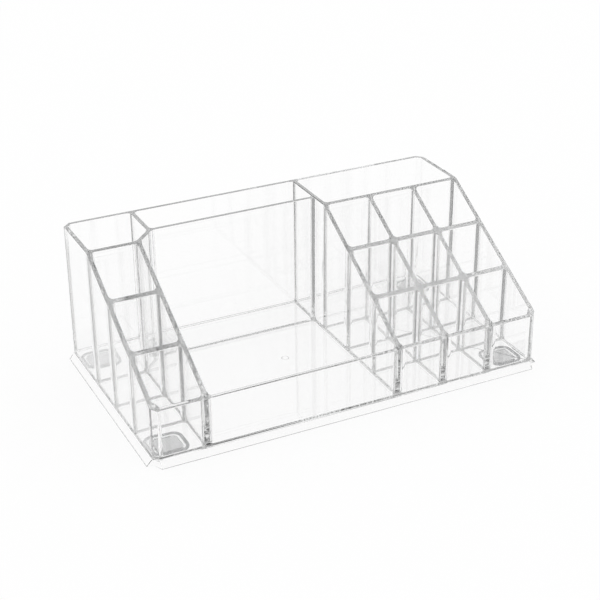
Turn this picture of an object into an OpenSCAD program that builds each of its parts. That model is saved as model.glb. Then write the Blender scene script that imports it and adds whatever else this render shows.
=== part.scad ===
// Clear desk-top organizer for vanity things. Two stepped towers of small cells
// stand on one floor, with an open tray between them and a palette slot behind it.
// X runs to the right, Y to the back and Z up, in millimetres.
// The origin is on the table, under the middle of the floor.

/* [Compartments] */
// Clear width of a small cell in either tower
cell_w = 26.7; // [20:0.1:34]
// Clear depth of a small cell in either tower
cell_d = 27.2; // [20:0.1:36]
// Clear width of the open tray between the towers
tray_w = 110.8; // [80:0.2:150]
// Clear depth of the tall compartments at the back of both towers
back_d = 38; // [28:0.5:50]
// How much wider the left back compartment is than the cell in front of it
step_w = 10.4; // [6:0.2:16]
// How far behind that cell's back wall the palette divider stands
step_d = 9.7; // [5:0.1:14]

/* [Heights] */
// Height of the level rim at the back, above the table
body_h = 84.4; // [60:0.2:110]
// Height of the low rim at the front, above the table
front_h = 33; // [20:1:50]

/* [Walls] */
// Thickness of every upright wall
wall_t = 2.4; // [1.8:0.1:3.2]
// Chamfer down the outer corners of the walls
corner_c = 3.5; // [1:0.1:4.5]

/* [Base] */
// Thickness of the floor, and of the skirt measured upright
floor_t = 2.4; // [1.6:0.1:3.2]
// Height of the skirt, from its lower edge up to the foot of the walls
skirt_h = 4; // [3.5:0.1:8]
// How far the skirt flares out past the walls
skirt_out = 3.5; // [1:0.1:8]
// Chamfer at the corners of the skirt's lower edge
skirt_c = 6.5; // [5:0.1:12]
// Gap between the skirt's lower edge and the table
skirt_gap = 0.4; // [0.2:0.1:1]

/* [Pads] */
// Width of a pad where it is stuck under the floor
pad_w = 19.4; // [14:0.2:24]
// Corner radius of a pad
pad_r = 5.5; // [2:0.5:6.5]
// Width of the pad's foot on the table
foot_w = 13.4; // [9:0.2:13.8]
// Corner radius of the foot
foot_r = 3; // [1:0.5:4]
// Height of the foot's upright edge
foot_edge = 0.2; // [0.1:0.1:0.5]
// Thickness of the straight lip round the top of a pad
pad_lip = 0.6; // [0.2:0.1:1]
// From the outer faces of the side walls in to the pads
pad_side_gap = 3.5; // [1:0.1:12]
// From the outer faces of the front and back walls in to the pads
pad_end_gap = 5.5; // [1:0.1:12]

/* [Gate mark] */
// Outer diameter of the moulding's ring mark under the floor
gate_d = 4.5; // [3:0.1:8]
// Width of the ring's groove
gate_w = 0.5; // [0.3:0.1:1]
// Depth of the ring's groove
gate_depth = 0.3; // [0.1:0.1:0.8]
// Place of the mark to the left of the middle of the floor
gate_left = 9.5; // [0:0.5:25]
// Place of the mark behind the middle of the floor
gate_behind = 2; // [0:0.5:25]

/* [Hidden] */

clear_plastic = [0.80, 0.87, 0.91, 0.45];
pad_grey = [0.72, 0.73, 0.74];
round_fn = 32;
// Overrun of a cut past the face it opens
cut = 0.2;

// Rows of cells from front to back in each tower, and columns in the right tower
rows = 3;
columns = 3;
pitch_w = cell_w + wall_t;
pitch_d = cell_d + wall_t;
body_w = 2 * wall_t + pitch_w + tray_w + columns * pitch_w;
body_d = 2 * wall_t + rows * pitch_d + back_d;
half_w = body_w / 2;
half_d = body_d / 2;

// The chamfer takes at most this share of the way in to the walls' inner corner
corner_share = 0.8;
corner = min(corner_c, 2 * wall_t * corner_share);

// Levels of the floor's two faces
floor_z = skirt_gap + skirt_h;
under_z = floor_z - floor_t;

// Inner faces of the outer walls
in_x = half_w - wall_t;
in_y = half_d - wall_t;

// Left faces of the walls that run from front to back
left_inner_x = -in_x + cell_w;
bay_x = left_inner_x + step_w;
right_inner_x = left_inner_x + wall_t + tray_w;
function divider_x(column) = right_inner_x + column * pitch_w;

// Front faces of the walls that run across
function cross_y(row) = -in_y + row * pitch_d - wall_t;
palette_y = cross_y(rows) + wall_t + step_d;

// The rims start to slope in the middle of the rearmost cell walls
slope_y = cross_y(rows) + wall_t / 2;

// The slanted wall runs between these two outside corners, one wall thick
slant_near = [left_inner_x, cross_y(rows) + wall_t];
slant_far = [bay_x + wall_t, palette_y];
slant_span = slant_far - slant_near;
slant_angle = atan2(slant_span.y, slant_span.x) + asin(wall_t / norm(slant_span));
slant_rise = step_w * tan(slant_angle);
slant_near_in = [left_inner_x + wall_t, slant_far.y - slant_rise];
slant_far_in = [bay_x, slant_near.y + slant_rise];

// A rectangle with its corners cut off, from the front left corner round to the right
function cut_rectangle(w, d, c) = [
    [-w + c, -d], [w - c, -d], [w, -d + c], [w, d - c],
    [w - c, d], [-w + c, d], [-w, d - c], [-w, -d + c]
];
wall_line = cut_rectangle(half_w, half_d, corner);
skirt_line = cut_rectangle(half_w + skirt_out, half_d + skirt_out, skirt_c);
function raised(p, z) = [p.x, p.y, z];

// Everything under the rims: level at the back, then sloping down to the front
module rim_envelope() {
    rotate([90, 0, 90])
        linear_extrude(body_w, center = true)
            polygon([
                [-half_d, 0], [half_d, 0], [half_d, body_h], [slope_y, body_h], [-half_d, front_h]
            ]);
}

// A slab on the floor with the plan given, up to a level above the table
module upright(plan, top) {
    translate([0, 0, floor_z]) linear_extrude(top - floor_z) polygon(plan);
}

// A wall on the floor with the plan given, cut off along the rims
module standing(plan) {
    color(clear_plastic)
        intersection() {
            upright(plan, body_h);
            rim_envelope();
        }
}

// A straight inner wall, given by its front left corner and its size on the floor
module panel(x, y, w, d) {
    standing([[x, y], [x + w, y], [x + w, y + d], [x, y + d]]);
}

// The plan of an outer wall with mitred ends under the corner chamfers. It is laid
// out at the back, then turned: reach is half its length and face its distance out.
function outer_plan(turn, reach, face) = [
    for (p = [
        [-reach + corner, face], [-reach + corner / 2, face - corner / 2],
        [-reach + wall_t, face - wall_t], [reach - wall_t, face - wall_t],
        [reach - corner / 2, face - corner / 2], [reach - corner, face]
    ])
        [p.x * cos(turn) - p.y * sin(turn), p.x * sin(turn) + p.y * cos(turn)]
];

// The front wall keeps a level rim, where the walls behind it slope
module front_wall() {
    color(clear_plastic) upright(outer_plan(180, half_w, half_d), front_h);
}

// One straight run of the skirt between two corners of the floor's outline
module skirt_run(i) {
    inner_share = 1 - floor_t / skirt_h;
    ends = [i, (i + 1) % len(wall_line)];
    points = [
        for (e = ends)
            for (p = [
                raised(wall_line[e], floor_z),
                raised(skirt_line[e], skirt_gap),
                raised(wall_line[e] + inner_share * (skirt_line[e] - wall_line[e]), skirt_gap),
                raised(wall_line[e], under_z)
            ]) p
    ];
    faces = [[0, 1, 2, 3], [7, 6, 5, 4], [0, 4, 5, 1], [1, 5, 6, 2], [2, 6, 7, 3], [3, 7, 4, 0]];
    color(clear_plastic) polyhedron(points, faces);
}

module floor_plate() {
    color(clear_plastic)
        difference() {
            translate([0, 0, under_z]) linear_extrude(floor_t) polygon(wall_line);
            translate([-gate_left, gate_behind, under_z - cut]) gate_ring();
        }
}

// The groove left by the moulding gate, open downwards
module gate_ring() {
    h = gate_depth + cut;
    difference() {
        cylinder(h = h, d = gate_d, $fn = round_fn);
        translate([0, 0, -cut]) cylinder(h = h + 2 * cut, d = gate_d - 2 * gate_w, $fn = round_fn);
    }
}

module rounded_plate(w, r, h) {
    linear_extrude(h)
        hull()
            for (x = [r - w / 2, w / 2 - r], y = [r - w / 2, w / 2 - r])
                translate([x, y]) circle(r = r, $fn = round_fn);
}

// A soft pad stuck under the floor: a lip at the top, tapering to its foot.
// side and end are -1 or 1, for left or right and front or back.
module pad(side, end) {
    x = side * (half_w - pad_side_gap - pad_w / 2);
    y = end * (half_d - pad_end_gap - pad_w / 2);
    color(pad_grey)
        translate([x, y, 0])
            hull() {
                translate([0, 0, under_z - pad_lip]) rounded_plate(pad_w, pad_r, pad_lip);
                rounded_plate(foot_w, foot_r, foot_edge);
            }
}

// The cells' side walls end behind the front wall, and the row walls fill between them
module left_cross_wall(row) {
    panel(-in_x, cross_y(row), cell_w, wall_t);
}

module cell_wall(row, column) {
    panel(divider_x(column) + wall_t, cross_y(row), cell_w, wall_t);
}

module right_divider(column) {
    panel(divider_x(column), -in_y, wall_t, cross_y(rows) + in_y);
}

module left_bay_wall() {
    standing([slant_far_in, slant_far, [slant_far.x, in_y], [bay_x, in_y]]);
}

module left_slant_wall() {
    standing([slant_near, slant_near_in, slant_far, slant_far_in]);
}

module left_inner_wall() {
    standing([[left_inner_x, -in_y], [slant_near_in.x, -in_y], slant_near_in, slant_near]);
}

module palette_divider() {
    panel(slant_far.x, palette_y, right_inner_x - slant_far.x, wall_t);
}

module right_inner_wall() {
    panel(right_inner_x, -in_y, wall_t, 2 * in_y);
}

module right_cross_wall_back() {
    panel(right_inner_x + wall_t, cross_y(rows), in_x - right_inner_x - wall_t, wall_t);
}

module skirt_corners() {
    for (i = [1 : 2 : 7]) skirt_run(i);
}

floor_plate();
skirt_run(0);  // skirt_front
skirt_run(2);  // skirt_right
skirt_run(4);  // skirt_back
skirt_run(6);  // skirt_left
skirt_corners();
standing(outer_plan(0, half_w, half_d));  // back_wall
standing(outer_plan(90, half_d, half_w));  // left_wall
front_wall();
standing(outer_plan(270, half_d, half_w));  // right_wall
left_bay_wall();
left_slant_wall();
left_inner_wall();
left_cross_wall(3);  // left_cross_wall_back
left_cross_wall(2);  // left_cross_wall_middle
left_cross_wall(1);  // left_cross_wall_front
palette_divider();
right_inner_wall();
right_divider(1);  // right_divider_left
right_divider(2);  // right_divider_right
right_cross_wall_back();
cell_wall(2, 0);  // cell_wall_middle_left
cell_wall(2, 1);  // cell_wall_middle_centre
cell_wall(2, 2);  // cell_wall_middle_right
cell_wall(1, 0);  // cell_wall_front_left
cell_wall(1, 1);  // cell_wall_front_centre
cell_wall(1, 2);  // cell_wall_front_right
pad(-1, -1);  // pad_front_left
pad(1, -1);  // pad_front_right
pad(-1, 1);  // pad_back_left
pad(1, 1);  // pad_back_right
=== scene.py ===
"""The looks of a clear dressing-table organizer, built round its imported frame.

One clear moulding, with sixteen open compartments, a flared skirt and a mark of the
moulding gate, stands on four soft pads. Sizes are in metres, in the frame's axes:
X to the right, Y to the tall back, Z up, with the table at zero.
"""

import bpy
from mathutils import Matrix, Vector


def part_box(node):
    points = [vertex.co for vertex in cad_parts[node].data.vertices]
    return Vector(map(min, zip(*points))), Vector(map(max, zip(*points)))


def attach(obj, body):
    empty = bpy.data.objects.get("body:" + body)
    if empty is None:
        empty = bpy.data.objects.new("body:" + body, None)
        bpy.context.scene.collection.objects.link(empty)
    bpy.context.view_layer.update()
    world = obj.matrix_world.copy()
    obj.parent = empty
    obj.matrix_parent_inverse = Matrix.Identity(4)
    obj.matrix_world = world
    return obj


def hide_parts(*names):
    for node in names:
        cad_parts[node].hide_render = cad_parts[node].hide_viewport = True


bl_info = {
    "name": "Clear vanity organizer",
    "version": (1, 0, 0),
    "blender": (4, 5, 0),
    "location": "3D View > Sidebar > Organizer",
    "description": "Builds a clear moulded organizer, its pads and its studio",
    "category": "Add Mesh",
}

import math

import bmesh
import bpy
from bpy.props import FloatProperty, FloatVectorProperty, PointerProperty
from bpy.types import Operator, Panel, PropertyGroup
from mathutils import Matrix, Vector

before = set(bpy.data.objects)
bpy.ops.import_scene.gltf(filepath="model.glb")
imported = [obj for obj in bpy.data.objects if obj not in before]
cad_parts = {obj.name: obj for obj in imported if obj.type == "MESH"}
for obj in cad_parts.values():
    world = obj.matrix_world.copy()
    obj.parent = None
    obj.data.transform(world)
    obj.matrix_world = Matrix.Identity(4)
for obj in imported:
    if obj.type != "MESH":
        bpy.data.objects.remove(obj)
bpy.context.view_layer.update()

MM = 0.001
NEAR = 0.02 * MM  # two places closer than this count as one


# Sizes read from the frame

FLOOR_LOW, FLOOR_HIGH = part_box("floor_plate")
SKIRT_LOW, SKIRT_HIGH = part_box("skirt_corners")
BACK_LOW, BACK_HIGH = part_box("back_wall")
CROSS_LOW, CROSS_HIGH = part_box("right_cross_wall_back")
FRONT_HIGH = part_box("front_wall")[1]
HALF_W, HALF_D = FLOOR_HIGH.x, FLOOR_HIGH.y
UNDER_Z, FLOOR_Z = FLOOR_LOW.z, FLOOR_HIGH.z
RIM_FRONT_Z, FRONT_IN_Y = FRONT_HIGH.z, FRONT_HIGH.y
RIM_BACK_Z, BACK_IN_Y = BACK_HIGH.z, BACK_LOW.y
LEFT_IN_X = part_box("left_wall")[1].x
RIGHT_IN_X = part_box("right_wall")[0].x
SKIRT_HALF_W, SKIRT_HALF_D, SKIRT_Z = SKIRT_HIGH.x, SKIRT_HIGH.y, SKIRT_LOW.z
SLOPE_BACK_Y = (CROSS_LOW.y + CROSS_HIGH.y) / 2
SLOPE_RISE = (RIM_BACK_Z - RIM_FRONT_Z) / (SLOPE_BACK_Y + HALF_D)

MOULDING_NODES = [n for n in sorted(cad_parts) if not n.startswith("pad_")]
PAD_NODES = [n for n in sorted(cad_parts) if n.startswith("pad_")]


def plan_corners(node):
    """The corners of an upright wall seen from above, from left to right."""
    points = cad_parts[node].data.vertices
    return sorted({(round(p.co.x, 6), round(p.co.y, 6)) for p in points})


# Settings that a user would change

class MouldingSettings(PropertyGroup):
    """Sizes of the moulding's rounded details"""

    cell_fillet: FloatProperty(
        name="Cell corners", default=2.4 * MM, unit="LENGTH",
        description="Radius of the upright corners inside the compartments")
    foot_fillet: FloatProperty(
        name="Floor corners", default=0.8 * MM, unit="LENGTH",
        description="Radius between the compartments' walls and floor")
    corner_inside_front: FloatProperty(
        name="Corner chamfer, inside front", default=2.9 * MM, unit="LENGTH",
        description="Chamfer inside the two front corners")
    corner_inside_back: FloatProperty(
        name="Corner chamfer, inside back", default=2.0 * MM, unit="LENGTH",
        description="Chamfer inside the two back corners")
    draft: FloatProperty(
        name="Draft", default=0.25 * MM, unit="LENGTH",
        description="How much a compartment narrows on each side down to its floor")
    rim_round: FloatProperty(
        name="Rim rounding", default=0.3 * MM, unit="LENGTH",
        description="Radius along both edges of the rims")
    corner_foot: FloatProperty(
        name="Corner chamfer, foot", default=2.6 * MM, unit="LENGTH",
        description="Chamfer of the outer corners at the floor")
    corner_rim: FloatProperty(
        name="Corner chamfer, back rim", default=4.0 * MM, unit="LENGTH",
        description="Chamfer of the outer corners at the back rim")
    skirt_corner: FloatProperty(
        name="Skirt corner", default=6.5 * MM, unit="LENGTH",
        description="Chamfer at the corners of the skirt's lower edge")
    skirt_thickness: FloatProperty(
        name="Skirt edge", default=0.7 * MM, unit="LENGTH",
        description="Width of the skirt's lower edge")
    skirt_round: FloatProperty(
        name="Skirt rounding", default=0.2 * MM, unit="LENGTH",
        description="Radius along the skirt's lower edge")
    groove_width: FloatProperty(
        name="Groove", default=2.7 * MM, unit="LENGTH",
        description="Width of the groove in the underside, along the skirt")
    groove_depth: FloatProperty(
        name="Groove depth", default=1.7 * MM, unit="LENGTH",
        description="How far the groove goes up under the outer walls")
    step_run: FloatProperty(
        name="Front step", default=1.8 * MM, unit="LENGTH",
        description="Length over which the sloping rims drop to the front rim")
    step_round: FloatProperty(
        name="Front step rounding", default=0.8 * MM, unit="LENGTH",
        description="How far the front step curves into the sloping rims")
    rim_lift: FloatProperty(
        name="Front rim lift", default=0.6 * MM, unit="LENGTH",
        description="How much the towers' front rims rise to their inner edge")
    rim_ease: FloatProperty(
        name="Front rim ease", default=2 * MM, unit="LENGTH",
        description="Width over which the lift fades out on the tray's front rim")
    gate_place: FloatVectorProperty(
        name="Gate mark", default=(-9.5 * MM, 2 * MM), size=2, unit="LENGTH",
        description="Place of the moulding gate's mark under the floor")
    gate_radius: FloatProperty(
        name="Gate mark radius", default=2.0 * MM, unit="LENGTH",
        description="Radius of the moulding gate's ring")
    gate_groove: FloatProperty(
        name="Gate mark depth", default=0.3 * MM, unit="LENGTH",
        description="How deep the moulding gate's ring goes into the underside")


class PadSettings(PropertyGroup):
    """Sizes of the soft pads"""

    corner: FloatProperty(
        name="Corner", default=5.5 * MM, unit="LENGTH",
        description="Corner radius of a pad")
    lip: FloatProperty(
        name="Lip", default=1.6 * MM, unit="LENGTH",
        description="Width of the lip along a pad's edge")
    lip_height: FloatProperty(
        name="Lip height", default=0.57 * MM, unit="LENGTH",
        description="Height of the lip under the organizer's floor")
    web: FloatProperty(
        name="Web", default=1.4 * MM, unit="LENGTH",
        description="Width of the thin web between lip and foot")
    web_height: FloatProperty(
        name="Web thickness", default=0.2 * MM, unit="LENGTH",
        description="Thickness of the web")
    foot_round: FloatProperty(
        name="Foot rounding", default=0.3 * MM, unit="LENGTH",
        description="Radius along the foot's lower edge")


class FinishSettings(PropertyGroup):
    """Colours and finishes"""

    clear_tint: FloatVectorProperty(
        name="Plastic", default=(1.0, 1.0, 1.0), min=0, max=1, subtype="COLOR",
        description="Colour of the clear plastic")
    clear_ior: FloatProperty(
        name="Refraction", default=1.57,
        description="Index of refraction of the clear plastic")
    depth_tint: FloatVectorProperty(
        name="Depth tint", default=(0.70, 0.71, 0.71), min=0, max=1, subtype="COLOR",
        description="Colour that long paths in the plastic take on")
    clear_depth: FloatProperty(
        name="Depth", default=3.0,
        description="How fast long paths in the plastic take on the depth tint")
    ripple: FloatProperty(
        name="Ripples", default=0.08 * MM, unit="LENGTH",
        description="Height of the fine ripples in rounded corners and on the slopes")
    ripple_fineness: FloatProperty(
        name="Ripple fineness", default=900,
        description="Ripples to a metre")
    pad_tint: FloatVectorProperty(
        name="Pads", default=(0.95, 0.96, 0.97), min=0, max=1, subtype="COLOR",
        description="Colour of the soft pads where they are thick")
    lip_tint: FloatVectorProperty(
        name="Pads' lips", default=(0.66, 0.67, 0.68), min=0, max=1, subtype="COLOR",
        description="Colour of the lip round each pad")
    web_tint: FloatVectorProperty(
        name="Pads' webs", default=(1.45, 1.46, 1.46), min=0, subtype="COLOR",
        description="Colour of the web; above 1 it keeps the darkest streaks light too")
    streak_shades: FloatVectorProperty(
        name="Pads' streaks", default=(0.64, 1.25), min=0, size=2,
        description="The darkest and the lightest streak, as shares of a pad's colour")


class StageSettings(PropertyGroup):
    """Floor, light and camera"""

    azimuth: FloatProperty(
        name="Azimuth", default=math.radians(-26.067), subtype="ANGLE",
        description="Direction of the camera round the object")
    elevation: FloatProperty(
        name="Elevation", default=math.radians(26.926), subtype="ANGLE",
        description="Height of the camera above the horizon")
    roll: FloatProperty(
        name="Roll", default=math.radians(-0.5), subtype="ANGLE",
        description="Turn of the camera about its line of sight")
    aim: FloatVectorProperty(
        name="Aim", default=(-0.5 * MM, 0.1 * MM, 39.8 * MM), subtype="XYZ", unit="LENGTH",
        description="The point that the camera looks at")
    distance: FloatProperty(
        name="Distance", default=796.1 * MM, unit="LENGTH",
        description="From the camera to the point it looks at")
    lens: FloatProperty(
        name="Lens", default=84.3,
        description="Focal length on a 36 mm sensor")
    light: FloatProperty(
        name="Light", default=1.0,
        description="Strength of the soft light from all round")
    light_low: FloatProperty(
        name="Light in the corners", default=0.5,
        description="Brightness for light turned back 3 to 5 times")
    light_middle: FloatProperty(
        name="Light in the edges", default=0.66,
        description="Mean brightness for light turned back more often")
    light_lean: FloatVectorProperty(
        name="Light direction", default=(-0.35, -0.9, 0.6), subtype="XYZ",
        description="How much brighter such light finds the right, the back and the top")
    floor_shades: FloatVectorProperty(
        name="Floor in the edges", default=(1.0, 1.0, 0.75, 0.35, 0.35, 0.4),
        min=0, max=1, size=6,
        description="How bright the floor is for light turned back 1, 2, 3, 4, 7 and 9 times")
    front_shade: FloatProperty(
        name="Floor in the front edges", default=0.95, min=0, max=1,
        description="Least brightness of the floor under the front wall")
    front_strip: FloatProperty(
        name="Front strip", default=7 * MM, unit="LENGTH",
        description="How far that part of the floor reaches in behind the front wall")
    floor_colour: FloatVectorProperty(
        name="Floor", default=(0.95, 0.95, 0.95), min=0, max=1, subtype="COLOR",
        description="Colour of the floor where it takes the light")
    floor_shadow: FloatProperty(
        name="Floor shadow", default=0.08, min=0, max=1, subtype="FACTOR",
        description="Share of the floor's white that shadows can take away")


# Modelling helpers

def let_go():
    """Goes back to object mode, with nothing selected."""
    if bpy.context.object and bpy.context.object.mode != "OBJECT":
        bpy.ops.object.mode_set(mode="OBJECT")
    bpy.ops.object.select_all(action="DESELECT")


def take(obj):
    """Makes one object the only selected one, in object mode."""
    let_go()
    obj.select_set(True)
    bpy.context.view_layer.objects.active = obj


def block(name, low, high):
    """A block between two corners, with its place in its mesh."""
    let_go()
    low, high = Vector(low), Vector(high)
    bpy.ops.mesh.primitive_cube_add(size=1, location=(low + high) / 2, scale=high - low)
    obj = bpy.context.object
    obj.name = obj.data.name = name
    bpy.ops.object.transform_apply(location=True, rotation=True, scale=True)
    return obj


def edit(obj):
    """Opens an object in edit mode with nothing selected."""
    take(obj)
    bpy.ops.object.mode_set(mode="EDIT")
    bpy.ops.mesh.select_mode(type="VERT")
    bpy.ops.mesh.select_all(action="DESELECT")


def pick(obj, kind, test):
    """Selects the vertices, edges or faces that pass a test, and nothing else."""
    bpy.ops.mesh.select_mode(type=kind)
    bpy.ops.mesh.select_all(action="DESELECT")
    mesh = bmesh.from_edit_mesh(obj.data)
    every = {"VERT": mesh.verts, "EDGE": mesh.edges, "FACE": mesh.faces}[kind]
    found = [part for part in every if test(part)]
    if not found:
        raise RuntimeError(f"nothing to select on {obj.name}")
    for part in found:
        part.select_set(True)
    mesh.select_flush_mode()
    bmesh.update_edit_mesh(obj.data)


def middle(edge):
    """The middle of an edge."""
    return (edge.verts[0].co + edge.verts[1].co) / 2


def upright(edge):
    """Whether an edge stands nearly upright."""
    way = edge.verts[1].co - edge.verts[0].co
    return way.length > NEAR and abs(way.z) > 0.9 * way.length


def at(value, wanted):
    """Whether a coordinate is where it is wanted."""
    return abs(value - wanted) < NEAR


def facing(way, z):
    """A test for the faces that look straight up or down at one height."""
    return lambda f: f.normal.z * way > 0.9 and at(f.calc_center_median().z, z)


def split(obj, point, way, trim=False):
    """Cuts all of a mesh along a plane, and takes off what lies beyond it if told to."""
    bpy.ops.mesh.select_all(action="SELECT")
    bpy.ops.mesh.bisect(plane_co=point, plane_no=way, use_fill=trim, clear_outer=trim)


def level(z):
    """Brings all that is selected to one height."""
    bpy.ops.transform.resize(value=(1, 1, 0), center_override=(0, 0, z))


def cut_with(obj, cutter):
    """Cuts one object out of another and removes the cutter."""
    take(obj)
    cut = obj.modifiers.new("Cut", "BOOLEAN")
    cut.operation, cut.solver, cut.object = "DIFFERENCE", "EXACT", cutter
    bpy.ops.object.modifier_apply(modifier=cut.name)
    bpy.data.objects.remove(cutter)


def smooth(obj, angle):
    """Shades the roundings smooth and leaves the flat faces flat."""
    take(obj)
    bpy.ops.object.shade_smooth_by_angle(angle=math.radians(angle))
    even = obj.modifiers.new("Even", "WEIGHTED_NORMAL")
    even.keep_sharp = True
    bpy.ops.object.modifier_apply(modifier=even.name)


# The clear moulding

SPACE_TOP_Z = RIM_BACK_Z + 5 * MM  # the compartments' spaces reach past the rims
WELD = 0.002 * MM                  # points closer than this become one
RIM_TURN = math.radians(35)        # the rims' edges turn more than this


def compartment(name, x0, x1, y0, y1, sizes, corner=None):
    """The space of one compartment: rounded corners, rounded floor edge, slight draft.
    corner is the slanted cut of a corner: a point on it and its outward direction."""
    space = block(name, (x0, y0, FLOOR_Z), (x1, y1, SPACE_TOP_Z))
    edit(space)
    if corner:
        split(space, *corner, trim=True)

    # The organizer's own four corners are chamfered inside, all others are rounded
    outer = [Vector(v) for v in ((x0, y0), (x0, y1), (x1, y0), (x1, y1))
             if at(abs(v[0]), RIGHT_IN_X) and at(abs(v[1]), BACK_IN_Y)]
    chamfer = sizes.corner_inside_back if at(y1, BACK_IN_Y) else sizes.corner_inside_front

    def apart(edge):
        return all((middle(edge).xy - v).length > 2 * chamfer for v in outer)

    if outer:
        pick(space, "EDGE", lambda e: upright(e) and not apart(e))
        bpy.ops.mesh.bevel(offset=chamfer, segments=1, affect="EDGES")
    pick(space, "EDGE", lambda e: upright(e) and apart(e))
    bpy.ops.mesh.bevel(offset=sizes.cell_fillet, segments=8, affect="EDGES")
    pick(space, "VERT", lambda v: at(v.co.z, FLOOR_Z))
    bpy.ops.transform.resize(
        value=(1 - 2 * sizes.draft / (x1 - x0), 1 - 2 * sizes.draft / (y1 - y0), 1),
        center_override=((x0 + x1) / 2, (y0 + y1) / 2, FLOOR_Z))
    pick(space, "EDGE", lambda e: all(at(v.co.z, FLOOR_Z) for v in e.verts))
    bpy.ops.mesh.bevel(offset=sizes.foot_fillet, segments=6, affect="EDGES")
    bpy.ops.object.mode_set(mode="OBJECT")
    return space


def all_compartments(sizes):
    """Every compartment's space, in one object."""
    def low(node):
        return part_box(node)[0]

    def high(node):
        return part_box(node)[1]

    near, near_in, far_in, far = (Vector((*p, 0)) for p in plan_corners("left_slant_wall"))
    bay_way, tray_way = far_in - near, far - near_in
    spaces = []

    row_y = FRONT_IN_Y
    for wall in ("left_cross_wall_front", "left_cross_wall_middle", "left_cross_wall_back"):
        spaces.append(compartment(
            "left cell", LEFT_IN_X, low("left_inner_wall").x, row_y, low(wall).y, sizes))
        row_y = high(wall).y
    spaces.append(compartment(
        "left back compartment", LEFT_IN_X, low("left_bay_wall").x, row_y, BACK_IN_Y, sizes,
        (near, Vector((bay_way.y, -bay_way.x, 0)))))

    columns = [
        (high("right_inner_wall").x, low("right_divider_left").x),
        (high("right_divider_left").x, low("right_divider_right").x),
        (high("right_divider_right").x, RIGHT_IN_X)]
    rows = [
        (FRONT_IN_Y, low("cell_wall_front_left").y),
        (high("cell_wall_front_left").y, low("cell_wall_middle_left").y),
        (high("cell_wall_middle_left").y, low("right_cross_wall_back").y)]
    for x0, x1 in columns:
        for y0, y1 in rows:
            spaces.append(compartment("right cell", x0, x1, y0, y1, sizes))
    spaces.append(compartment(
        "right back compartment", high("right_inner_wall").x, RIGHT_IN_X,
        high("right_cross_wall_back").y, BACK_IN_Y, sizes))

    tray_right = low("right_inner_wall").x
    spaces.append(compartment(
        "tray", near_in.x, tray_right, FRONT_IN_Y, low("palette_divider").y, sizes,
        (far, Vector((-tray_way.y, tray_way.x, 0)))))
    spaces.append(compartment(
        "palette slot", high("left_bay_wall").x, tray_right,
        high("palette_divider").y, BACK_IN_Y, sizes))

    take(spaces[0])
    for space in spaces:
        space.select_set(True)
    bpy.ops.object.join()
    return spaces[0]


def outline(body, z, half_w, half_d, chamfer):
    """Gives the block's chamfered outline at one height a size and chamfer of its own."""
    for side, x_to, y_to in (
            (lambda v: at(abs(v.co.y), HALF_D), half_w - chamfer, half_d),
            (lambda v: at(abs(v.co.x), HALF_W), half_w, half_d - chamfer)):
        pick(body, "VERT", lambda v: at(v.co.z, z) and side(v))
        one = next(v for v in bmesh.from_edit_mesh(body.data).verts if v.select)
        bpy.ops.transform.resize(
            value=(x_to / abs(one.co.x), y_to / abs(one.co.y), 1), center_override=(0, 0, 0))


def slope_rims(body, sizes):
    """Slopes the rims to the front, with a short curved step down to the front rim."""
    split(body, (0, -HALF_D, RIM_FRONT_Z), (0, -SLOPE_RISE, 1), trim=True)
    step_back_y = FRONT_IN_Y + sizes.step_run
    lifted_z = RIM_FRONT_Z + sizes.rim_lift
    step_top_z = RIM_FRONT_Z + SLOPE_RISE * (step_back_y + HALF_D)
    step_rise = (step_top_z - lifted_z) / sizes.step_run
    split(body, (0, FRONT_IN_Y, lifted_z), (0, -step_rise, 1), trim=True)
    split(body, (0, FRONT_IN_Y, 0), (0, 1, 0))
    pick(body, "VERT", lambda v: v.co.z > FLOOR_Z and v.co.y < FRONT_IN_Y - NEAR)
    level(RIM_FRONT_Z)

    # Between the towers the front rim is level, without their lift
    tray_left, tray_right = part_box("left_inner_wall")[1].x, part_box("right_inner_wall")[0].x
    level_left, level_right = tray_left + sizes.rim_ease, tray_right - sizes.rim_ease
    for x in (tray_left, level_left, level_right, tray_right):
        split(body, (x, 0, 0), (1, 0, 0))
    pick(body, "VERT", lambda v: v.co.z > FLOOR_Z and at(v.co.y, FRONT_IN_Y)
         and level_left - NEAR < v.co.x < level_right + NEAR)
    level(RIM_FRONT_Z)
    pick(body, "EDGE", lambda e: all(at(v.co.y, step_back_y) for v in e.verts)
         and not upright(e) and middle(e).z > FLOOR_Z)
    bpy.ops.mesh.bevel(offset=sizes.step_round, segments=4, affect="EDGES")


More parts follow.
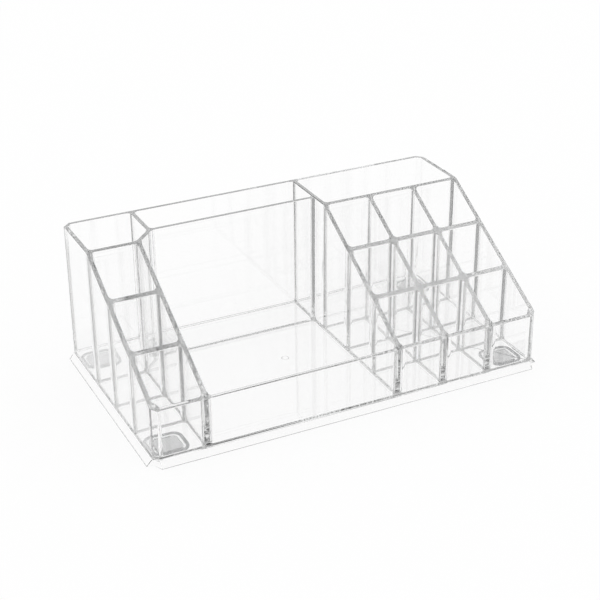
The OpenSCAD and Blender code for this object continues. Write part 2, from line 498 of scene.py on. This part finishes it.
def draw_skirt(body, sizes):
    """Draws the skirt out of the floor's edge, down and outwards, with a groove behind it."""
    split(body, (0, 0, FLOOR_Z), (0, 0, 1))
    drop = UNDER_Z - SKIRT_Z
    groove_z = UNDER_Z + sizes.groove_depth
    part_way = (FLOOR_Z - groove_z) / (FLOOR_Z - SKIRT_Z)
    corner_inset = (2 - math.sqrt(2)) * sizes.skirt_thickness
    pick(body, "FACE", lambda f: abs(f.normal.z) < 0.5 and f.calc_center_median().z < FLOOR_Z)
    bpy.ops.mesh.extrude_region_move(TRANSFORM_OT_translate={"value": (0, 0, -drop)})
    for z, share in ((SKIRT_Z, 1), (UNDER_Z, part_way)):
        outline(
            body, z,
            HALF_W + share * (SKIRT_HALF_W - HALF_W) - sizes.skirt_thickness,
            HALF_D + share * (SKIRT_HALF_D - HALF_D) - sizes.skirt_thickness,
            sizes.corner_foot + share * (sizes.skirt_corner - sizes.corner_foot) - corner_inset)
    pick(body, "VERT", lambda v: at(v.co.z, FLOOR_Z - drop))
    bpy.ops.transform.translate(value=(0, 0, SKIRT_Z - FLOOR_Z + drop))

    pick(body, "FACE", facing(-1, UNDER_Z))
    bpy.ops.transform.translate(value=(0, 0, sizes.groove_depth))
    bpy.ops.mesh.inset(thickness=sizes.groove_width)
    bpy.ops.mesh.extrude_region_move(
        TRANSFORM_OT_translate={"value": (0, 0, -sizes.groove_depth)})

    outline(body, SKIRT_Z, SKIRT_HALF_W, SKIRT_HALF_D, sizes.skirt_corner)
    edge_w = SKIRT_HALF_W - sizes.skirt_thickness / 2
    edge_d = SKIRT_HALF_D - sizes.skirt_thickness / 2
    pick(body, "EDGE", lambda e: all(
        at(v.co.z, SKIRT_Z) and (abs(v.co.x) > edge_w or abs(v.co.y) > edge_d) for v in e.verts))
    bpy.ops.mesh.bevel(offset=sizes.skirt_round, segments=3, affect="EDGES")


def outer_block(sizes):
    """The solid block with its chamfered corners, sloping top and flared skirt."""
    body = block("organizer", (-HALF_W, -HALF_D, UNDER_Z), (HALF_W, HALF_D, RIM_BACK_Z))
    edit(body)
    pick(body, "EDGE", upright)
    bpy.ops.mesh.bevel(offset=sizes.corner_rim, segments=1, affect="EDGES")
    outline(body, UNDER_Z, HALF_W, HALF_D, sizes.corner_foot)
    slope_rims(body, sizes)
    draw_skirt(body, sizes)
    bpy.ops.object.mode_set(mode="OBJECT")
    return body


def gate_mark(sizes):
    """The ring that the moulding gate left in the underside."""
    bpy.ops.mesh.primitive_torus_add(
        location=(*sizes.gate_place, UNDER_Z), major_segments=32, minor_segments=10,
        major_radius=sizes.gate_radius, minor_radius=sizes.gate_groove)
    ring = bpy.context.object
    bpy.ops.object.transform_apply(location=True, rotation=True, scale=True)
    return ring


def is_rim(face):
    """Whether a face is part of the walls' upper rims."""
    return face.normal.z > 0.3 and face.calc_center_median().z > RIM_FRONT_Z - MM


def is_rim_edge(edge):
    """Whether an edge stands between a rim and the side of a wall."""
    return (len(edge.link_faces) == 2 and sum(map(is_rim, edge.link_faces)) == 1
            and edge.calc_face_angle() > RIM_TURN)


class ORGANIZER_OT_moulding(Operator):
    """Model the clear moulding as one piece"""

    bl_idname = "organizer.moulding"
    bl_label = "Clear moulding"

    def execute(self, context):
        sizes = context.scene.organizer_moulding
        body = outer_block(sizes)
        cut_with(body, all_compartments(sizes))
        cut_with(body, gate_mark(sizes))

        edit(body)
        bpy.ops.mesh.select_all(action="SELECT")
        bpy.ops.mesh.remove_doubles(threshold=WELD)
        pick(body, "EDGE", is_rim_edge)
        bpy.ops.mesh.bevel(offset=sizes.rim_round, segments=3, affect="EDGES")
        bpy.ops.object.mode_set(mode="OBJECT")
        smooth(body, angle=40)

        body.data.materials.append(clear_plastic(context.scene.organizer_finish))
        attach(body, "root")
        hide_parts(*MOULDING_NODES)
        return {"FINISHED"}


# The pads

PAD_GAP = 0.03 * MM   # between a pad's top and the organizer's floor
PAD_SIDE = 0.1 * MM   # width of the steep sides between lip, web and foot
FOOT_TOP_SHARE = 0.6  # how far the foot's top comes back up out of the web's hollow
THICK, LIP, WEB = range(3)


def lone_pad(name, low, high, sizes):
    """One pad: a lip, a thin web inside it, and the foot that stands on the table."""
    top = high.z - PAD_GAP
    under = top - sizes.lip_height
    hollow = sizes.lip_height - sizes.web_height
    pad = block(name, (low.x, low.y, under), (high.x, high.y, top))
    edit(pad)
    pick(pad, "EDGE", upright)
    bpy.ops.mesh.bevel(offset=sizes.corner, segments=8, affect="EDGES")
    pick(pad, "FACE", facing(1, top))
    bpy.ops.mesh.inset(thickness=sizes.lip)
    bpy.ops.mesh.inset(thickness=PAD_SIDE)
    bpy.ops.transform.translate(value=(0, 0, -hollow))
    bpy.ops.mesh.inset(thickness=sizes.web)
    bpy.ops.mesh.inset(thickness=PAD_SIDE)
    bpy.ops.transform.translate(value=(0, 0, FOOT_TOP_SHARE * hollow))
    pick(pad, "FACE", facing(-1, under))
    bpy.ops.mesh.inset(thickness=sizes.lip + PAD_SIDE)
    bpy.ops.mesh.inset(thickness=sizes.web)
    bpy.ops.mesh.extrude_region_move(TRANSFORM_OT_translate={"value": (0, 0, low.z - under)})
    pick(pad, "EDGE", lambda e: all(at(v.co.z, low.z) for v in e.verts))
    bpy.ops.mesh.bevel(offset=sizes.foot_round, segments=3, affect="EDGES")
    bpy.ops.object.mode_set(mode="OBJECT")
    return pad


def inset_of(point, centre, half, corner):
    """How far inside the rounded outline of a pad a point lies."""
    x, y = (abs(a - b) - half + corner for a, b in zip(point.xy, centre.xy))
    return corner - (math.hypot(x, y) if min(x, y) > 0 else max(x, y))


def part_finishes(pad, centre, half, sizes):
    """Gives the lip and the web of a pad the second and third finish."""
    lip_end = sizes.lip + PAD_SIDE
    web_end = lip_end + sizes.web
    slack = PAD_SIDE / 2
    for face in pad.data.polygons:
        points = (pad.data.vertices[i].co for i in face.vertices)
        deepest = max(inset_of(point, centre, half, sizes.corner) for point in points)
        if deepest < lip_end + slack:
            face.material_index = LIP
        elif deepest < web_end + slack and abs(face.normal.z) > 0.99:
            face.material_index = WEB
        else:
            face.material_index = THICK


class ORGANIZER_OT_pads(Operator):
    """Model one soft pad and copy it under the floor's corners"""

    bl_idname = "organizer.pads"
    bl_label = "Soft pads"

    def execute(self, context):
        sizes = context.scene.organizer_pads
        low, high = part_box(PAD_NODES[0])
        centre = (low + high) / 2
        first = lone_pad("soft_pad", low, high, sizes)
        for finish in soft_pad(context.scene.organizer_finish):
            first.data.materials.append(finish)
        part_finishes(first, centre, (high.x - low.x) / 2, sizes)
        smooth(first, angle=35)
        for node in PAD_NODES:
            pad = first.copy()
            pad.data = first.data.copy()
            pad.name = pad.data.name = node.replace("pad_", "soft_pad_")
            context.collection.objects.link(pad)
            take(pad)
            pad.location = sum(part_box(node), Vector()) / 2 - centre
            bpy.ops.object.transform_apply(location=True, rotation=True, scale=True)
            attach(pad, "root")
            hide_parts(node)
        bpy.data.objects.remove(first)
        return {"FINISHED"}


# Finishes

SLOPE_FACING = round(1 / math.hypot(1, SLOPE_RISE), 2)  # how far the sloping rims face up
SLOPE_SLACK = 0.05            # faces this near to it count as sloping rims
RIPPLE_ONSET = 8              # how soon ripples set in where the plastic turns a corner
RIPPLE_DRAW = (1, 0.1, 0.12)  # the ripples are drawn out along Y and Z
SILICONE_IOR = 1.41
STREAK_RELIEF = 0.1 * MM


def fit(tree, node, sockets):
    """Sets a node's sockets to plain values, or links them to other nodes' sockets."""
    for name, value in sockets.items():
        if isinstance(value, bpy.types.NodeSocket):
            tree.links.new(value, node.inputs[name])
        else:
            node.inputs[name].default_value = value
    return node


def new_node(tree, kind, sockets=None):
    """A new node of one kind, with its sockets set."""
    return fit(tree, tree.nodes.new(kind), sockets or {})


def reckon(tree, what, *values):
    """A sum in a node tree, from sockets and plain numbers."""
    node = new_node(tree, "ShaderNodeMath", dict(enumerate(values)))
    node.operation = what
    return node.outputs[0]


def new_finish(name):
    """A new material, its node tree and its shader."""
    finish = bpy.data.materials.new(name)
    finish.use_nodes = True
    return finish, finish.node_tree, finish.node_tree.nodes["Principled BSDF"]


def clear_plastic(colours):
    """Clear plastic, with fine ripples where its surface turns a corner or slopes."""
    finish, tree, shader = new_finish("clear_plastic")
    surface = new_node(tree, "ShaderNodeNewGeometry")
    way = new_node(tree, "ShaderNodeSeparateXYZ", {0: surface.outputs["Normal"]}).outputs
    turning = reckon(tree, "ABSOLUTE", reckon(tree, "MULTIPLY", way["X"], way["Y"]))
    up = reckon(tree, "ABSOLUTE", way["Z"])
    sloping = reckon(tree, "COMPARE", up, SLOPE_FACING, SLOPE_SLACK)
    rippled = reckon(tree, "MULTIPLY_ADD", turning, RIPPLE_ONSET, sloping)
    rippled = reckon(tree, "MINIMUM", rippled, 1)

    place = new_node(tree, "ShaderNodeTexCoord")
    drawn = new_node(tree, "ShaderNodeMapping", {
        "Vector": place.outputs["Object"], "Scale": RIPPLE_DRAW})
    ripples = new_node(tree, "ShaderNodeTexNoise", {
        "Vector": drawn.outputs["Vector"], "Scale": colours.ripple_fineness, "Detail": 2})
    relief = new_node(tree, "ShaderNodeBump", {
        "Height": reckon(tree, "MULTIPLY", ripples.outputs["Fac"], rippled),
        "Strength": 1, "Distance": colours.ripple})
    fit(tree, shader, {
        "Base Color": (*colours.clear_tint, 1), "Roughness": 0, "IOR": colours.clear_ior,
        "Transmission Weight": 1, "Normal": relief.outputs["Normal"]})

    depth = new_node(tree, "ShaderNodeVolumeAbsorption", {
        "Color": (*colours.depth_tint, 1), "Density": colours.clear_depth})
    fit(tree, tree.nodes["Material Output"], {"Volume": depth.outputs["Volume"]})
    return finish


def milky_silicone(colours, name, tint, fineness, clear, rough):
    """Milky silicone with fine streaks across it."""
    finish, tree, shader = new_finish(name)
    place = new_node(tree, "ShaderNodeTexCoord")
    streaks = new_node(tree, "ShaderNodeTexWave", {
        "Vector": place.outputs["Object"], "Scale": fineness,
        "Distortion": 1.5, "Detail": 3, "Detail Scale": 2})
    shades = new_node(tree, "ShaderNodeValToRGB", {"Fac": streaks.outputs["Fac"]})
    for stop, share in zip(shades.color_ramp.elements, colours.streak_shades):
        stop.color = (*(min(1, part * share) for part in tint), 1)
    relief = new_node(tree, "ShaderNodeBump", {
        "Height": streaks.outputs["Fac"], "Strength": 0.5, "Distance": STREAK_RELIEF})
    fit(tree, shader, {
        "Base Color": shades.outputs["Color"], "Roughness": rough, "IOR": SILICONE_IOR,
        "Transmission Weight": clear, "Normal": relief.outputs["Normal"]})
    return finish


def soft_pad(colours):
    """The pads' three finishes: milky where the silicone is thick, darker in the lip,
    nearly clear in the web."""
    return [milky_silicone(colours, *finish) for finish in (
        # name, colour, fineness of the streaks, clearness, roughness
        ("soft_pad", colours.pad_tint, 235, 0.85, 0.2),
        ("soft_pad_lip", colours.lip_tint, 420, 0.75, 0.25),
        ("soft_pad_web", colours.web_tint, 420, 1, 0.05))]


# The stage

FLOOR_REACH = 4                   # from the middle to each side of the floor
FLOOR_FOOT_Z = -20 * MM
FLOOR_TOP_Z = -0.02 * MM          # just below the pads' feet
SHADE_TURNS = (1, 2, 3, 4, 7, 9)  # how often light was turned back, for each floor shade
MOST_TURNS = 12
BOUNCES = 64                      # enough for light that runs along inside the walls


def white_paper(stage):
    """The floor: white to the eye, straight or through the plastic, with a faint shadow.
    Light that was turned back inside the plastic finds it grey, so that the edges show."""
    paper = bpy.data.materials.new("white_paper")
    paper.use_nodes = True
    tree = paper.node_tree
    tree.nodes.clear()
    path = new_node(tree, "ShaderNodeLightPath").outputs
    grey = new_node(tree, "ShaderNodeValToRGB", {
        "Fac": reckon(tree, "DIVIDE", path["Glossy Depth"], MOST_TURNS)})
    stops = grey.color_ramp.elements
    stops[0].color = stops[1].color = (1, 1, 1, 1)
    stops[1].position = 0
    for turns, shade in zip(SHADE_TURNS, stage.floor_shades):
        stops.new(turns / MOST_TURNS).color = (shade, shade, shade, 1)

    place = new_node(tree, "ShaderNodeTexCoord")
    along = new_node(tree, "ShaderNodeSeparateXYZ", {0: place.outputs["Object"]}).outputs
    front = reckon(tree, "LESS_THAN", along["Y"], FRONT_IN_Y + stage.front_strip)
    front = reckon(tree, "MULTIPLY", front, stage.front_shade)
    shade = reckon(tree, "MAXIMUM", grey.outputs["Color"], front)
    glow = new_node(tree, "ShaderNodeEmission", {"Color": shade})
    matt = new_node(tree, "ShaderNodeBsdfDiffuse", {"Color": (*stage.floor_colour, 1)})

    seen = reckon(tree, "MAXIMUM", path["Is Camera Ray"], path["Is Glossy Ray"])
    seen = reckon(tree, "MAXIMUM", seen, path["Is Transmission Ray"])
    mix = new_node(tree, "ShaderNodeMixShader", {
        "Fac": reckon(tree, "MULTIPLY", seen, 1 - stage.floor_shadow),
        1: matt.outputs[0], 2: glow.outputs[0]})
    new_node(tree, "ShaderNodeOutputMaterial", {"Surface": mix.outputs[0]})
    return paper


def soft_studio(stage):
    """Even white light from all round. Light that was turned back often inside the plastic
    finds it greyer, and brighter to the front, left and top than to the back and right."""
    world = bpy.data.worlds.new("studio")
    world.use_nodes = True
    tree = world.node_tree
    way = new_node(tree, "ShaderNodeTexCoord").outputs["Generated"]
    lean = new_node(tree, "ShaderNodeVectorMath", {0: way, 1: stage.light_lean})
    lean.operation = "DOT_PRODUCT"
    edges = reckon(tree, "ADD", lean.outputs["Value"], stage.light_middle)
    edges = reckon(tree, "MAXIMUM", reckon(tree, "MINIMUM", edges, 1), 0)

    turns = new_node(tree, "ShaderNodeLightPath").outputs["Glossy Depth"]
    three_to_five = reckon(tree, "COMPARE", turns, 4, 1.5)
    six_or_more = reckon(tree, "GREATER_THAN", turns, 5.5)
    seen = reckon(tree, "MULTIPLY_ADD", three_to_five, stage.light_low - 1, 1)
    seen = reckon(tree, "MULTIPLY_ADD", six_or_more, reckon(tree, "SUBTRACT", edges, 1), seen)
    fit(tree, tree.nodes["Background"], {"Color": seen, "Strength": stage.light})
    return world


def photo_camera(stage):
    """The camera, at the photograph's angle."""
    data = bpy.data.cameras.new("camera")
    camera = bpy.data.objects.new("camera", data)
    bpy.context.scene.collection.objects.link(camera)
    data.sensor_width = 36
    data.lens = stage.lens
    data.clip_start = 10 * MM
    az, el = stage.azimuth, stage.elevation
    back = Vector((math.sin(az) * math.cos(el), -math.cos(az) * math.cos(el), math.sin(el)))
    turn = back.to_track_quat("Z", "Y").to_matrix() @ Matrix.Rotation(stage.roll, 3, "Z")
    camera.rotation_mode = "QUATERNION"
    camera.rotation_quaternion = turn.to_quaternion()
    camera.location = Vector(stage.aim) + back * stage.distance
    return camera


class ORGANIZER_OT_stage(Operator):
    """Lay the floor, set the light and place the camera"""

    bl_idname = "organizer.stage"
    bl_label = "Stage"

    def execute(self, context):
        stage = context.scene.organizer_stage
        scene = context.scene
        floor = block("floor", (-FLOOR_REACH, -FLOOR_REACH, FLOOR_FOOT_Z),
                      (FLOOR_REACH, FLOOR_REACH, FLOOR_TOP_Z))
        floor.data.materials.append(white_paper(stage))
        scene.world = soft_studio(stage)
        scene.camera = photo_camera(stage)
        scene.view_settings.view_transform = "Standard"
        scene.cycles.use_denoising = True
        scene.cycles.max_bounces = BOUNCES
        scene.cycles.transmission_bounces = BOUNCES
        scene.cycles.glossy_bounces = BOUNCES
        return {"FINISHED"}


# Panel, registration and the order of work

class ORGANIZER_PT_panel(Panel):
    """Lists the organizer's pieces, finishes and stage"""

    bl_idname = "ORGANIZER_PT_panel"
    bl_label = "Organizer"
    bl_space_type = "VIEW_3D"
    bl_region_type = "UI"
    bl_category = "Organizer"

    def draw(self, context):
        for step in STEPS:
            self.layout.operator(step.bl_idname)
        for settings in (context.scene.organizer_moulding, context.scene.organizer_pads,
                         context.scene.organizer_finish, context.scene.organizer_stage):
            for name in settings.__annotations__:
                self.layout.prop(settings, name)


STEPS = (ORGANIZER_OT_moulding, ORGANIZER_OT_pads, ORGANIZER_OT_stage)
CLASSES = (
    MouldingSettings, PadSettings, FinishSettings, StageSettings, *STEPS, ORGANIZER_PT_panel)


def register():
    for one in CLASSES:
        bpy.utils.register_class(one)
    bpy.types.Scene.organizer_moulding = PointerProperty(type=MouldingSettings)
    bpy.types.Scene.organizer_pads = PointerProperty(type=PadSettings)
    bpy.types.Scene.organizer_finish = PointerProperty(type=FinishSettings)
    bpy.types.Scene.organizer_stage = PointerProperty(type=StageSettings)


def unregister():
    del bpy.types.Scene.organizer_moulding
    del bpy.types.Scene.organizer_pads
    del bpy.types.Scene.organizer_finish
    del bpy.types.Scene.organizer_stage
    for one in reversed(CLASSES):
        bpy.utils.unregister_class(one)


def main():
    register()
    bpy.ops.organizer.moulding()
    bpy.ops.organizer.pads()
    bpy.ops.organizer.stage()


if __name__ == "__main__":
    main()
